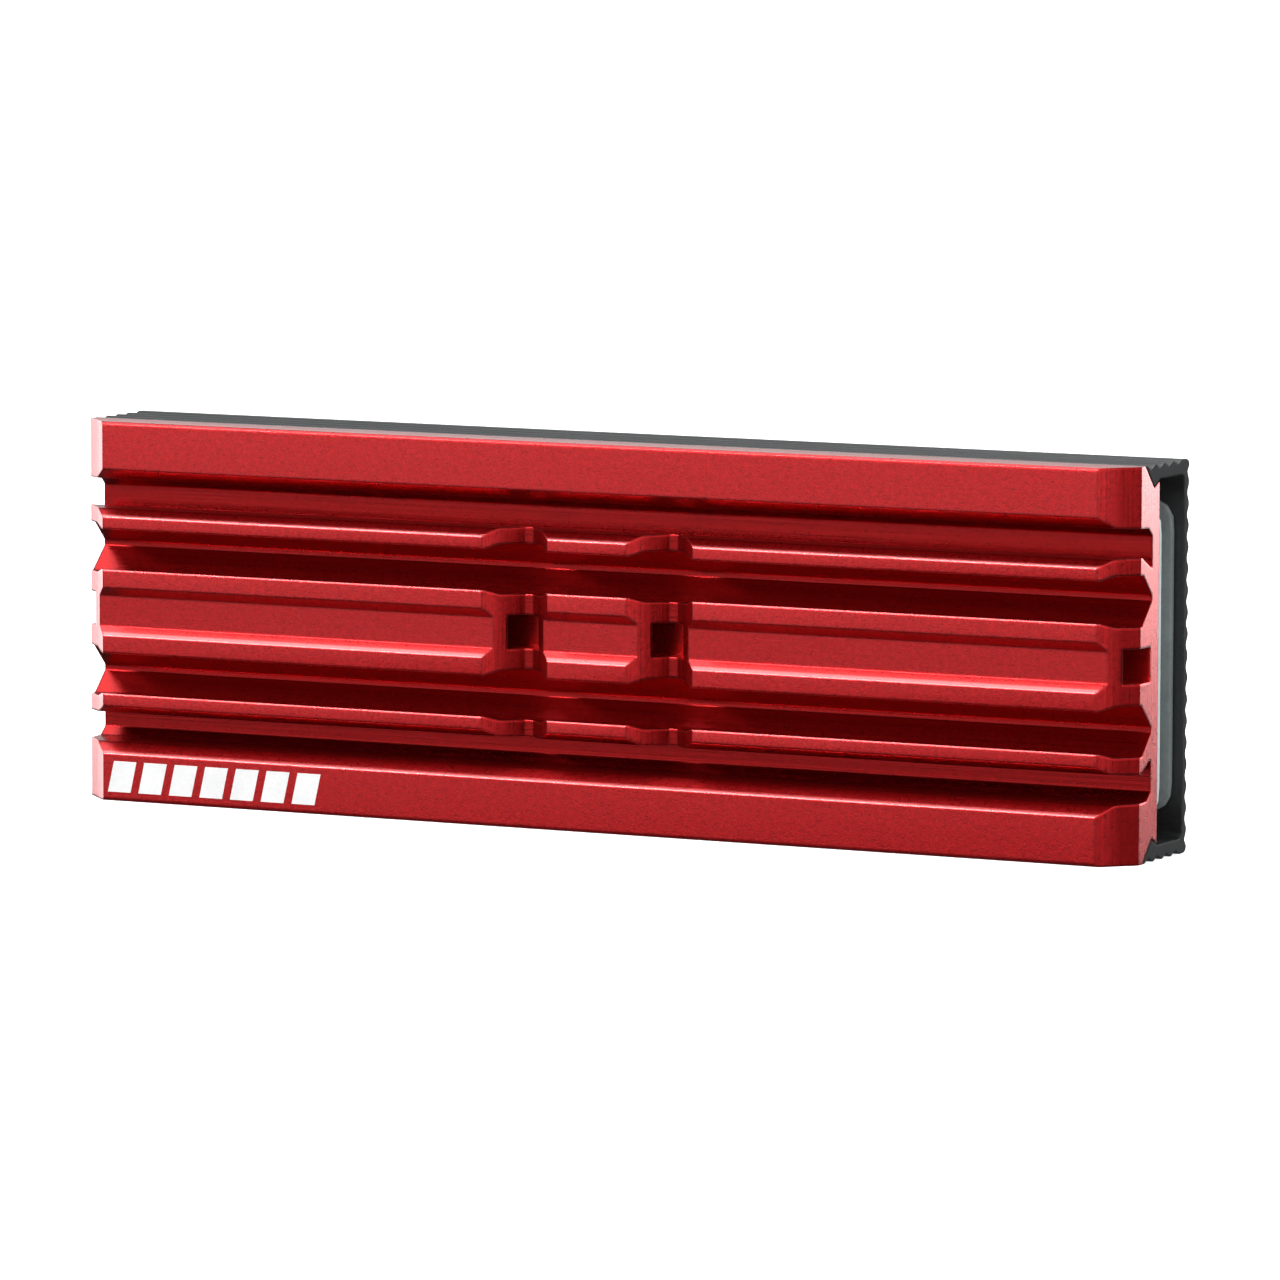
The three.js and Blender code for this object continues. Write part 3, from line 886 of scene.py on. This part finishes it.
def add_lights():
    """Panels above, behind and beside the casing, and a narrow strip for the fins' upper edges."""
    add_panel("overhead", (-0.1, 0.1, 0.6), (0.9, 0.4), 4.3)
    add_panel("backdrop", (-0.45, 0.9, 0.12), (1.2, 0.26), 1.0)
    add_panel("left_back", (-0.62, 0.3, 0.1), (0.5, 0.4), 1.8)
    add_panel("right_back", (0.38, 0.68, 0.14), (0.5, 0.4), 4.4)
    add_panel("front_left", (-0.42, -0.75, 0.05), (0.6, 0.3), 0.66)
    add_panel("front_strip", (-0.36, -0.55, 0.45), (0.8, 0.07), 6.4)
    add_panel("right_side", (0.75, 0.05, 0.2), (0.4, 0.3), 0.9)
    add_panel("front_fill", (0.05, -0.85, 0.2), (0.5, 0.3), 0.6)
    add_panel("front_right", (0.62, -0.4, 0.14), (0.4, 0.3), 1.0)


def add_world():
    """A plain studio: pale above, dim below, so the floor's light stays off the object."""
    world = bpy.data.worlds.new("studio")
    world.use_nodes = True
    tree = world.node_tree
    place = add(tree, "ShaderNodeTexCoord")
    split = add(tree, "ShaderNodeSeparateXYZ")
    tree.links.new(place.outputs["Generated"], split.inputs["Vector"])
    height = spread(tree, split.outputs["Z"], 0.0, 1.0, -0.15, 0.3)
    tone = ramp(tree, height, [(0.0, WORLD_DIM), (1.0, WORLD_PALE)])
    tree.links.new(tone, tree.nodes["Background"].inputs["Color"])
    tree.nodes["Background"].inputs["Strength"].default_value = 1.0
    bpy.context.scene.world = world


def add_floor():
    """A pale floor, turned up all round, that sends no light back up under the fins."""
    mesh = bpy.data.meshes.new("floor")
    turns = [2 * math.pi * i / FLOOR_SIDES for i in range(FLOOR_SIDES)]
    points = [(0.0, 0.0, 0.0)]
    points += [(r * math.cos(t), r * math.sin(t), z) for r, z in FLOOR_PROFILE for t in turns]
    faces = [(0, 1 + i, 1 + (i + 1) % FLOOR_SIDES) for i in range(FLOOR_SIDES)]
    for ring in range(len(FLOOR_PROFILE) - 1):
        first = 1 + ring * FLOOR_SIDES
        second = first + FLOOR_SIDES
        for i in range(FLOOR_SIDES):
            j = (i + 1) % FLOOR_SIDES
            faces.append((first + i, second + i, second + j, first + j))
    mesh.from_pydata(points, [], faces)
    mesh.polygons.foreach_set("use_smooth", [True] * len(mesh.polygons))
    floor = bpy.data.objects.new("floor", mesh)
    floor.visible_diffuse = False
    floor.visible_glossy = False
    floor.visible_shadow = False
    bpy.context.scene.collection.objects.link(floor)
    material, tree, shader = new_material("floor")
    cloud = noise(tree, 6.0, 3.0, 0.5)
    tone = ramp(tree, cloud, [(0.3, (0.86, 0.86, 0.86)), (0.7, (0.9, 0.9, 0.9))])
    tree.links.new(tone, shader.inputs["Base Color"])
    shader.inputs["Roughness"].default_value = 0.9
    shader.inputs["Specular IOR Level"].default_value = 0.0
    shader.inputs["Emission Color"].default_value = (1.0, 1.0, 1.0, 1.0)
    shader.inputs["Emission Strength"].default_value = 0.75
    mesh.materials.append(material)


dress_nodes()
shade_nodes()
add_pads()
add_print()
add_terminals()
add_chip_legs()
add_chip_marks()
add_controller_lid()
add_traces()
add_vias()
add_outlines()
add_label_print()
add_camera()
add_world()
add_lights()
add_floor()
bpy.context.scene.view_settings.view_transform = "Standard"
